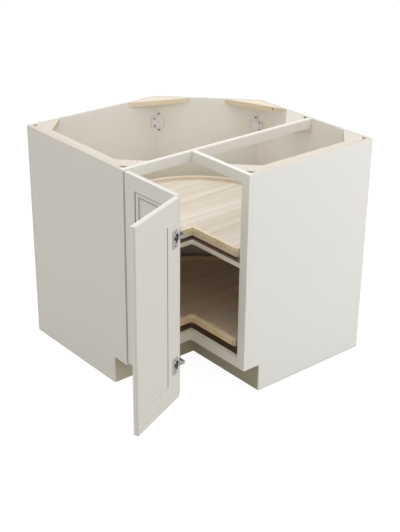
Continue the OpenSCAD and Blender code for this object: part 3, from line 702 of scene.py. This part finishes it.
def board_finish(name, top_tint, shadow_strip_tint, edge_paint):
    """Plywood board with a painted front edge. Its top face is tinted, and a strip along the front is
    darkened as painted shadow.
    """
    made, where = new_material(name)
    parts, normal = split(where), normal_beside(where)
    face = use(veneer_group, where, Light=SHELF_LIGHT, Dark=SHELF_DARK)
    reach = larger(minus(parts["X"], corner.x), minus(parts["Y"], corner.y))
    # Painted shadow under the trays' lips: full near the front edge, gone 25 mm further back.
    strip = over(minus(STRIP_END, reach), STRIP_FADE, clamp=True)
    tinted = blend_colours(1.0, face["Colour"], blend_colours(strip, top_tint, shadow_strip_tint), "MULTIPLY")
    wood = blend_colours(above(split(normal)["Z"], 0.5), face["Colour"], tinted)
    edge = above(facing(normal, (-1, -1, 0)), 0.5)
    skin = use(paint_group, where, Paint=edge_paint)
    surface(face, 0.05, Colour=blend_colours(edge, wood, skin["Colour"]))
    return made


# The next to last colour of each board is its painted shadow strip; the shelf's lighter edge cream is painted
# light.
floor_maple = board_finish("floor_maple", linear(206, 198, 188), linear(128, 118, 110), CREAM)
shelf_maple = board_finish("shelf_maple", linear(250, 252, 254), linear(134, 130, 128), linear(240, 237, 222))
eased("floor_panel", PLY_EDGE, "clear_maple", floor_maple)
eased("fixed_shelf", PLY_EDGE, "clear_maple", shelf_maple)
print("floor and shelf finished")

# %% [markdown]
# ## Tray boards
#
# A tray's board is clear-coated veneer with its streaks along X. Its edge never shows, because the rim
# and the lips cover it all round. The lower tray and the riser under it have a lighter, warmer maple than
# the upper tray, as painted light: it lifts the deeper shade down there and warms it like the light that
# bounces off the wood round it.

# %% Tray boards
for tray, nodes, light, dark in (
        ("upper", ("upper_tray_board",), linear(242, 235, 226), linear(216, 201, 183)),
        # The lower tray's lighter, warmer maple is painted light.
        ("lower", ("lower_tray_board", "lower_riser"), linear(255, 240, 220), linear(247, 216, 188))):
    maple = plain_finish(tray + "_tray_maple", veneer_group, 0.05, Light=light, Dark=dark, Gloss=0.35)
    for node in nodes:
        eased(node, PLY_EDGE, "clear_maple", maple)
    print(tray, "maple on", nodes)

# %% [markdown]
# ## The course of a band
#
# The rim is a strip bent round the board, and the lips are straight strips in the notch. Their patterns
# use axes that start at the turning axis, with X towards the cabinet's rear corner. Round the rim, the
# angle times the radius says how far along the strip a point is. The lips meet where Y is 0, and their
# pattern runs along Y, so it slants across both alike.

# %% Band coordinates
TRAY_R, BAND_H = 0.375, 0.034
TURNING_AXIS = drawn(447, 447)


def band_course(parts, round_the_axis):
    """Place along the strip, across it and up it, as a vector for a pattern."""
    along, across = parts["Y"], parts["X"]
    if round_the_axis:
        along = times(calc("ARCTAN2", parts["Y"], parts["X"]), TRAY_R)
        across = calc("SQRT", plus(calc("POWER", parts["X"], 2), calc("POWER", parts["Y"], 2)))
    return put("CombineXYZ", {"X": along, "Y": across, "Z": parts["Z"]}).outputs[0]


print("trays turn round", [round(c, 4) for c in TURNING_AXIS])

# %% [markdown]
# ## Layers and joints of a band
#
# A rim or lip is glued up from two layers, and the lower one is a shade darker. The glue line between
# them wavers a little, and a pale band along the top edge is a painted highlight. The lips have two more
# glue lines: one in the mitre where they meet, and one at each end, where the bent rim takes over.

# %% Band layers and joints
TOP_HIGHLIGHT, GLUE, JOINT = linear(252, 238, 214), linear(128, 102, 78), linear(120, 96, 74)
GLUE_WAVER, GLUE_HALF, TOP_HIGHLIGHT_H = 0.0008, 0.0012, 0.0022
MITRE_HALF, SEAM_W = 0.0003, 0.0014


def layered(course, level, colour, dark):
    """Colour of a band with its lower layer, a painted highlight along its top and glue line. level is the
    height in the band.
    """
    glue_level = plus(BAND_H / 2 - GLUE_WAVER / 2, times(noise(course, 25.0, 2.0), GLUE_WAVER))
    off = size_of(minus(level, glue_level))
    glue = minus(1.0, over(off, GLUE_HALF), clamp=True)
    lower = times(below(level, BAND_H / 2), 0.55)
    # Painted highlight: the top 2.2 mm of the band is lightened.
    top_highlight = times(above(level, BAND_H - TOP_HIGHLIGHT_H), 0.35)
    colour = blend_colours(lower, colour, dark)
    colour = blend_colours(top_highlight, colour, TOP_HIGHLIGHT)
    return blend_colours(times(glue, 0.5), colour, GLUE)


def jointed(parts, lip_end, colour):
    """Colour of a lip with its mitre and its two ends. lip_end is how far the lips reach from the axis."""
    from_mitre = size_of(parts["Y"])
    reach = times(minus(parts["X"], from_mitre), cos(pi / 4))
    seam = below(minus(reach, lip_end), SEAM_W)
    joint = larger(below(from_mitre, MITRE_HALF), times(seam, 0.55))
    return blend_colours(times(joint, 0.6), colour, JOINT)


print("glue line at", BAND_H / 2 / MM, "mm")

# %% [markdown]
# ## Rims and lips
#
# The bands get their maple, with a bit more streak in the rim. Their edges are rounded more than those of
# a board, because hands take hold of them to turn the tray. The lower tray's bands are warmer than the
# upper tray's, as painted warm light.

# %% Rims and lips
BAND_EDGE, BAND_STEPS = 1.6 * MM, 3
BAND_WOODS = (("upper", "rim", 1.5, linear(248, 240, 227), linear(220, 205, 190)),
              ("upper", "lip", 1.3, linear(255, 243, 222), linear(235, 213, 182)),
              # The lower tray's warmer band colours are painted light.
              ("lower", "rim", 1.5, linear(250, 232, 206), linear(228, 200, 164)),
              ("lower", "lip", 1.3, linear(255, 240, 210), linear(242, 210, 166)))
BAND_NODES = {"rim": "_tray_rim", "lip": "_tray_lips"}


def band_finish(name, tray, band, streaks, light, dark):
    """Maple of a rim or of a pair of lips. The rim's lowest point gives the height."""
    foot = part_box(tray + "_tray_rim")[0].z
    made, where = new_material(name, pi / 4, (TURNING_AXIS.x, TURNING_AXIS.y, foot))
    parts = split(where)
    course = band_course(parts, band == "rim")
    face = use(veneer_group, course, Light=light, Dark=dark, Streaks=streaks, Gloss=0.4)
    colour = layered(course, parts["Z"], face["Colour"], dark)
    if band == "lip":
        lip_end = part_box(tray + "_tray_lips")[0].x - TURNING_AXIS.x
        colour = jointed(parts, lip_end, colour)
    surface(face, 0.06, Colour=colour)
    return made


for tray, band, *wood in BAND_WOODS:
    maple = band_finish(tray + "_" + band + "_maple", tray, band, *wood)
    eased(tray + BAND_NODES[band], BAND_EDGE, "clear_maple", maple, BAND_STEPS)
print("rims and lips finished")

# %% [markdown]
# ## Blocks and battens
#
# The blocks in the corners and the battens along the ends are raw, pale solid wood that only the fitter
# sees. The battens have their grain along them and most blocks at 45 degrees, and those blocks' sawn
# sides are darker than their tops.

# %% Raw wood
RAW_EDGE = 1.0 * MM
PITH = (0, 0.09, 0.6)


def raw_finish(name, light, dark, turn=0.0, sawn=None):
    """Raw solid wood, its grain along X unless it is turned. Sawn upright faces can be darker."""
    made, where = new_material(name, turn, PITH)
    grain = use(solid_group, where, Light=light, Dark=dark)
    colour = grain["Colour"]
    if sawn:
        upright = below(size_of(split(normal_beside(where))["Z"]), 0.4)
        colour = blend_colours(upright, colour, blend_colours(1.0, colour, sawn, "MULTIPLY"))
    surface(grain, 0.12, Colour=colour)
    return made


for node, name, *wood in (
        ("left_top_batten", "left_top_batten_wood", RAW_LIGHT, RAW_DARK, pi / 2),
        ("right_top_batten", "right_top_batten_wood", RAW_LIGHT, RAW_DARK),
        ("corner_blocks", "block_wood", linear(222, 214, 204), linear(211, 199, 185), pi / 4,
         linear(236, 224, 202)),
        ("stretcher_cleat", "cleat_wood", linear(232, 226, 214), linear(220, 208, 190)),
        ("obtuse_blocks", "obtuse_block_wood", linear(236, 227, 212), linear(214, 197, 171), -pi / 4,
         linear(252, 247, 238))):
    eased(node, RAW_EDGE, "raw_plywood", raw_finish(name, *wood))
print("raw wood finished")

# %% [markdown]
# ## The door's glaze
#
# The door has the frame's cream paint, and a brown glaze that was wiped off again, so that it stays only
# in the corners of the moulding. Those corners run parallel to the leaf's outline, 57 and 74 mm in. On the
# back, a faint brown line at 77 mm is painted shade, where the wall of the recess stands in shadow. The mask
# measures how far a point is from the nearest edge of its leaf. The lines along the ends are wider, because
# the picture looks down on them.

# %% Glaze group
BACK_FROM, BACK_TO = 0.0138, 0.0187
given, out = new_group("wiped glaze", {"Mask": FLOAT}, Vector=None)
parts = split(given["Vector"])
side = smaller(parts["X"], minus(LEAF_W, parts["X"]))
end = smaller(minus(parts["Z"], LEAF_BOTTOM), minus(LEAF_TOP, parts["Z"]))
inset = smaller(side, end)
on_sides = below(side, end)
on_ends = minus(1.0, on_sides)


def line_at(distance, half_width):
    """1 in the middle of a line that lies that far inside the outline, 0 outside it."""
    off = size_of(minus(inset, distance))
    return minus(1.0, over(off, half_width), clamp=True)


upright_lines = larger(line_at(0.0573, 0.0019), line_at(0.0740, 0.0022))
level_lines = larger(line_at(0.0571, 0.0025), line_at(0.0738, 0.0032))
front_lines = larger(times(upright_lines, on_sides), times(level_lines, on_ends))
on_front = below(parts["Y"], LEAF_T / 2)
on_back = times(above(parts["Y"], BACK_FROM), below(parts["Y"], BACK_TO))
# Painted shade: a faint line on the back, where the recess wall stands in shadow.
recess_shadow_line = times(times(line_at(0.0770, 0.0012), on_sides), 0.25)
mask = plus(times(front_lines, on_front), times(recess_shadow_line, on_back))
strength = plus(0.75, times(noise(given["Vector"], 90.0, 3.0), 0.5))
glaze_and_shade_group = close_group(out, Mask=calc("POWER", times(mask, strength, clamp=True), 0.7))

# %% [markdown]
# ## Door paint
#
# Each leaf has its own material, because the glaze and its painted shade are measured in the leaf's frame.
# The leaf's back half, with half of each edge, gets a darker cream as painted shade. The stiles and rails
# keep their CAD shape, since their coped ends are too fine to bevel.

# %% Door paint
SHADED_BACK_CREAM, GLAZE_AND_SHADE_BROWN = linear(222, 219, 211), linear(64, 56, 46)


def leaf_finish(name, leaf):
    """Paint, glaze and painted shade of one leaf, in its frame."""
    made, where = new_material(name, atan2(leaf[1][0], leaf[0][0]), leaf.translation)
    # Painted shade: the back half of the leaf takes the darker cream.
    back_shade = above(split(where)["Y"], LEAF_T / 2)
    skin = use(paint_group, where, Paint=blend_colours(back_shade, CREAM, SHADED_BACK_CREAM))
    glaze = use(glaze_and_shade_group, where)["Mask"]
    surface(skin, PAINT_BUMP, Colour=blend_colours(glaze, skin["Colour"], GLAZE_AND_SHADE_BROWN))
    return made


first_paint = leaf_finish("first_leaf_paint", first_leaf)
second_paint = leaf_finish("second_leaf_paint", second_leaf)
finish_with(first_paint, "hinge_stile", "fold_stile", "first_leaf_top_rail", "first_leaf_bottom_rail")
finish_with(second_paint, "joint_stile", "free_stile", "second_leaf_top_rail", "second_leaf_bottom_rail")
LEAVES = {"first_leaf": (first_leaf, first_paint), "second_leaf": (second_leaf, second_paint)}
print("door painted:", list(LEAVES))

# %% [markdown]
# ## Fields of the door's panels
#
# From behind, the recess of a door like this is shallow: the panel is thinned only round its border, where
# it sits in the groove. So the copy's back face is inset to just inside the groove and its field is pushed
# out, which leaves a thin line of shadow along the stiles instead of a broad one.

# %% Panel fields
GROOVE, FIELD_SLOPE, FIELD_RISE = 0.0093, 0.0006, 0.0028
SAME_WAY = 0.99


def inwards(leaf):
    """The way from a leaf's outer face to its back."""
    return leaf.to_3x3() @ Vector((0, 1, 0))


for body, (leaf, paint) in LEAVES.items():
    node = body + "_panel"
    shape = merged(node)
    field = [f for f in shape.faces if f.normal.dot(inwards(leaf)) > SAME_WAY]
    for margin in (GROOVE, FIELD_SLOPE):
        bmesh.ops.inset_region(shape, faces=field, thickness=margin, use_even_offset=True)
    rim = list({v for f in field for v in f.verts})
    bmesh.ops.translate(shape, verts=rim, vec=inwards(leaf) * FIELD_RISE)
    as_piece(shape, node + "_fielded", body, "cream_paint", paint, node)
    print(node, "field raised from", len(field), "face")

# %% [markdown]
# ## Hardware finishes
#
# Hinges and bearings are nickel plated, the corner brackets are pale zinc sheet with a faint mauve cast,
# and the bracket and pocket screws are dark. A pressed sheet is bright and metallic on its plated face only,
# so the cups and brackets ask which way a face looks: their cut edges and hollows are less metallic, and
# their darker colour there is painted shade.

# %% Steel finishes
STEEL_BUMP, STEEL_DEPTH, PLATED_WAY, DULL_METAL = 0.05, 0.00005, 0.93, 0.15


def plate_finish(name, metal, edge_shade_metal, gloss, metallic, *ways):
    """Sheet whose plated faces look along one of the ways. Its cut edges and hollows are less metallic and
    darker, as painted shade.
    """
    made, where = new_material(name)
    normal = normal_beside(where)
    flat = 0.0
    for way in ways:
        flat = larger(flat, above(facing(normal, way), PLATED_WAY))
    plate = use(steel_group, where, Metal=metal, Gloss=gloss)
    bare = times(larger(flat, DULL_METAL), metallic)
    # Painted shade: cut edges and hollows take the darker metal colour.
    surface(plate, STEEL_BUMP, STEEL_DEPTH, bare, Colour=blend_colours(flat, edge_shade_metal, plate["Colour"]))
    return made


nickel, spring_steel, hinge_screw_steel, dark_steel = [
    plain_finish(name, steel_group, STEEL_BUMP, STEEL_DEPTH, metallic, Metal=metal, Gloss=gloss)
    for name, metal, gloss, metallic in (("nickel_steel", linear(154, 151, 147), 0.22, 1.0),
                                         ("spring_steel", linear(196, 193, 189), 0.35, 0.3),
                                         ("hinge_screw_steel", linear(74, 71, 69), 0.3, 1.0),
                                         ("dark_screw_steel", linear(92, 86, 80), 0.35, 1.0))]
# The bracket's darker second colour is painted shade on its cut edges.
zinc = plate_finish("bracket_steel", linear(236, 230, 234), linear(128, 116, 124), 0.42, 0.4,
                    (0, -1, 0), (-1, 0, 0), (-0.7071, -0.7071, 0))
finish_with(nickel, *[n for n in frame["nodes"] if "bearing" in n or "hinge_pins" in n])
print("bearings and pins plated")

# %% [markdown]
# ## Hinges and brackets
#
# Cups, arms and brackets are pressed from sheet, and the press leaves every edge a little round. The arms
# of such a hinge are channels, wider than the eye that turns on the pin, so the copy of an arm is widened
# in Z round its hinge's middle. Its mounting plate is taller than the arm and keeps its height.

# %% Hinges
HINGE_HEIGHTS = (0.259, 0.7355)
ARM_HALF, ARM_GROWTH = 0.0048, 1.26
CUP_EDGE, ARM_EDGE, BRACKET_EDGE = 0.3 * MM, 0.4 * MM, 0.5 * MM
# The cups' second, darker metal is painted shade in their hollows and on their cut edges.
CUP_METALS = linear(166, 163, 164), linear(150, 147, 144)

for hinge, name, leaf in (("main", "first_cup_steel", first_leaf), ("fold", "second_cup_steel", second_leaf)):
    cup_steel = plate_finish(name, *CUP_METALS, 0.2, 1.0, tuple(inwards(leaf)))
    eased(hinge + "_hinge_cups", CUP_EDGE, "nickel_steel", cup_steel)
for node in ("main_hinge_arms", "fold_hinge_arms"):
    shape = merged(node)
    for middle in HINGE_HEIGHTS:
        arm = [v for v in shape.verts if abs(v.co.z - middle) < ARM_HALF]
        bmesh.ops.scale(shape, verts=arm, vec=(1, 1, ARM_GROWTH), space=Matrix.Translation((0, 0, -middle)))
    eased(node, ARM_EDGE, "nickel_steel", nickel, shape=shape)
eased("corner_brackets", BRACKET_EDGE, "bracket_steel", zinc)
print("hinges and brackets pressed")

# %% [markdown]
# ## One coil spring
#
# A cup hinge snaps shut, because coil springs sit on short axles in its cup, one on each side of the arm,
# so that the arm can swing between them. A small disc that is spun round the axle and along it at the
# same time leaves a coil behind, and a thin cylinder through it is the axle.

# %% Spring shape
AXLE_R, AXLE_LENGTH, AXLE_SIDES = 0.0015, 0.0086, 16
COIL_R, WIRE_R, WIRE_SIDES, TURNS, STEPS = 0.0036, 0.0010, 8, 3, 18
COIL_RISE = 2.1 * WIRE_R * TURNS


def add_spring(shape, place):
    """Adds a coil and its axle along Z to a bmesh and moves both into place."""
    wire = bmesh.ops.create_circle(shape, cap_ends=True, radius=WIRE_R, segments=WIRE_SIDES)["verts"]
    bmesh.ops.rotate(shape, verts=wire, matrix=Matrix.Rotation(pi / 2, 3, "X"))
    bmesh.ops.translate(shape, verts=wire, vec=(COIL_R, 0, -COIL_RISE / 2))
    faces = {f for v in wire for f in v.link_faces}
    disc = wire + list({e for v in wire for e in v.link_edges}) + list(faces)
    bmesh.ops.spin(shape, geom=disc, cent=(0, 0, 0), axis=(0, 0, 1), dvec=(0, 0, COIL_RISE / (TURNS * STEPS)),
                   angle=2 * pi * TURNS, steps=TURNS * STEPS, use_duplicate=False)
    bmesh.ops.create_cone(shape, cap_ends=True, segments=AXLE_SIDES, radius1=AXLE_R, radius2=AXLE_R,
                          depth=AXLE_LENGTH)
    added = [v for v in shape.verts if not v.tag]
    bmesh.ops.transform(shape, verts=added, matrix=place)
    for v in added:
        v.tag = True


print("coil is", round(COIL_RISE / MM, 2), "mm long")

# %% [markdown]
# ## Springs in the cups
#
# Every cup gets two springs, above and below its arm. The coil's far end is open after the spin, so it is
# capped, and the normals are recalculated, because a spin can turn a shape inside out.

# %% Springs
AXLE_U, AXLE_V, FROM_ARM = 0.0255, 0.0138, 0.0106
SPRING_HEIGHTS = [middle + way * FROM_ARM for middle in HINGE_HEIGHTS for way in (-1, 1)]

for name, body in (("main_hinge_springs", "first_leaf"), ("fold_hinge_springs", "second_leaf")):
    shape = bmesh.new()
    for z in SPRING_HEIGHTS:
        add_spring(shape, LEAVES[body][0] @ Matrix.Translation((AXLE_U, AXLE_V, z)))
    bmesh.ops.holes_fill(shape, edges=[e for e in shape.edges if len(e.link_faces) == 1])
    bmesh.ops.recalc_face_normals(shape, faces=shape.faces)
    print(name, "faces", len(shape.faces), "open edges", sum(len(e.link_faces) != 2 for e in shape.edges))
    as_piece(shape, name, body, "nickel_steel", spring_steel, smooth=radians(50))

# %% [markdown]
# ## Screws
#
# A CAD screw is a plain head on a plain shank. A real one has a cross recess and a thread. The recess
# starts as a circle of twelve corners: pulling every third corner inwards makes a cross, which is extruded
# down. Round it, a ring is extruded from one radius to the next, over the head, down the shank and in and
# out along the thread.

# %% Screw sizes
HEAD_R, SUNK_R, SHANK_R, ROOT_R, TIP_R, PITCH = 0.0036, 0.0032, 0.0016, 0.00115, 0.0003, 0.0013
PAN = [(0.0024, 0.0018), (0.0031, 0.0015), (HEAD_R - 0.0001, 0.0010), (HEAD_R, 0.0006), (HEAD_R, 0.0001),
       (SHANK_R, 0)]
SUNK = [(0.0021, 0.0004), (SUNK_R - 0.0002, 0.00015), (SUNK_R, 0), (SHANK_R, -0.0012)]


def threaded(length):
    """(radius, height) rings of a thread that ends in a point, from the underside of the head down."""
    rings, z = [(SHANK_R, -0.0004)], -0.0016
    while z > -length + 2 * PITCH:
        rings += [(ROOT_R, z), (SHANK_R, z - PITCH / 2)]
        z -= PITCH
    return rings + [(ROOT_R, z), (TIP_R, -length)]


print("a 10 mm thread has", len(threaded(0.010)), "rings")

# %% [markdown]
# ## Cutting a screw
#
# The cross and the crown's first ring are bridged. Then the ring's edges are extruded again and again, and
# each new ring is scaled to its own radius and moved to its height.

# %% Screw shape
PULL, TAPER = 0.42, 0.6


def cross_recess(shape, radius, z):
    """Sinks a cross into the bmesh at height z and gives the edges of its mouth."""
    cross = bmesh.ops.create_circle(shape, cap_ends=True, radius=radius, segments=12)["verts"]
    bmesh.ops.rotate(shape, verts=cross, matrix=Matrix.Rotation(radians(15), 3, "Z"))
    pulled = [v for v in cross if abs(abs(v.co.x) - abs(v.co.y)) < radius / 10]
    bmesh.ops.scale(shape, verts=pulled, vec=(PULL, PULL, 1))
    bmesh.ops.translate(shape, verts=cross, vec=(0, 0, z))
    mouth = list(shape.edges)
    bottom = bmesh.ops.extrude_discrete_faces(shape, faces=list(shape.faces))["faces"][0].verts
    bmesh.ops.scale(shape, verts=bottom, vec=(TAPER, TAPER, 1))
    bmesh.ops.translate(shape, verts=bottom, vec=(0, 0, -TAPER * radius))
    return mouth


def screw_mesh(head, length, recess):
    """A screw along Z. head is its (radius, height) rings from the crown to the underside."""
    shape = bmesh.new()
    mouth = cross_recess(shape, recess, head[0][1])
    ring = bmesh.ops.create_circle(shape, cap_ends=False, radius=head[0][0], segments=24)["verts"]
    bmesh.ops.translate(shape, verts=ring, vec=(0, 0, head[0][1]))
    edges = list({e for v in ring for e in v.link_edges})
    bmesh.ops.bridge_loops(shape, edges=mouth + edges)
    under = head[-1][1]
    rings = head + [(radius, under + z) for radius, z in threaded(length)]
    for (last_r, last_z), (radius, z) in zip(rings, rings[1:]):
        made = bmesh.ops.extrude_edge_only(shape, edges=edges)["geom"]
        ring = [g for g in made if isinstance(g, bmesh.types.BMVert)]
        bmesh.ops.scale(shape, verts=ring, vec=(radius / last_r, radius / last_r, 1))
        bmesh.ops.translate(shape, verts=ring, vec=(0, 0, z - last_z))
        edges = [e for e in {e for v in ring for e in v.link_edges} if all(v in ring for v in e.verts)]
    bmesh.ops.holes_fill(shape, edges=edges)
    bmesh.ops.recalc_face_normals(shape, faces=shape.faces)
    return mesh_of(shape, "screw")


print("screw cutter ready")

# %% [markdown]
# ## Where the screws go
#
# Each CAD screw already stands in the right place, so its own mesh says where the new one goes. The points
# of one screw that are farthest from its middle form the ring at its tip. The line from there through the
# middle is its axis, and the farthest point along that line is the crown of its head.

# %% Screw places
NEARLY_FARTHEST = 0.985


def apart(shape):
    """Lists of points, one for each separate lump of a bmesh."""
    waiting, lumps = set(shape.verts), []
    while waiting:
        found = newest = {waiting.pop()}
        while newest:
            newest = {e.other_vert(v) for v in newest for e in v.link_edges} - found
            found = found | newest
        waiting -= found
        lumps.append([v.co.copy() for v in found])
    return lumps


def crown_and_axis(points):
    """Top of a screw's head and the way from its tip to there."""
    middle = sum(points, Vector()) / len(points)
    far = max((p - middle).length for p in points)
    tip_ring = [p for p in points if (p - middle).length > NEARLY_FARTHEST * far]
    tip = sum(tip_ring, Vector()) / len(tip_ring)
    axis = (middle - tip).normalized()
    return tip + axis * max((p - tip).dot(axis) for p in points), axis


print("screw finder ready")

# %% [markdown]
# ## Setting the screws
#
# One pattern is cut for each kind of screw and copied to every place of its node: the crown goes to the
# CAD screw's crown, and Z is turned to its axis. Bearing, bracket and hinge arm screws have a pan head,
# and those of the cups are sunk.

# %% Screws in place
RECESS, SUNK_RECESS = 0.0017, 0.0016
SHORT_SCREW, HINGE_SCREW, POCKET_SCREW = 0.010, 0.012, 0.020


def set_screws(node, head, length, recess, slot, material):
    """Stands for all the screws of a CAD node."""
    pattern, old = screw_mesh(head, length, recess), merged(node)
    places = [crown_and_axis(points) for points in apart(old)]
    old.free()
    shape = bmesh.new()
    for crown, axis in places:
        before = len(shape.verts)
        shape.from_mesh(pattern)
        shape.verts.ensure_lookup_table()
        turn = Vector((0, 0, 1)).rotation_difference(axis).to_matrix().to_4x4()
        place = Matrix.Translation(crown) @ turn @ Matrix.Translation((0, 0, -head[0][1]))
        bmesh.ops.transform(shape, verts=shape.verts[before:], matrix=place)
    as_piece(shape, node + "_threaded", BODY_OF[node], slot, material, node, smooth=radians(40))
    bpy.data.meshes.remove(pattern)
    print(node, len(places))


for node, length in (("bracket_screws", SHORT_SCREW), ("pocket_screw", POCKET_SCREW)):
    set_screws(node, PAN, length, RECESS, "dark_screw_steel", dark_steel)
for node in ("bearing_base_screws", "upper_ring_screws", "lower_ring_screws"):
    set_screws(node, PAN, SHORT_SCREW, RECESS, "nickel_steel", nickel)
for node in ("main_hinge_arm_screws", "fold_hinge_arm_screws"):
    set_screws(node, PAN, HINGE_SCREW, RECESS, "nickel_steel", hinge_screw_steel)
for node in ("main_hinge_cup_screws", "fold_hinge_cup_screws"):
    set_screws(node, SUNK, HINGE_SCREW + SUNK[-1][1], SUNK_RECESS, "nickel_steel", hinge_screw_steel)
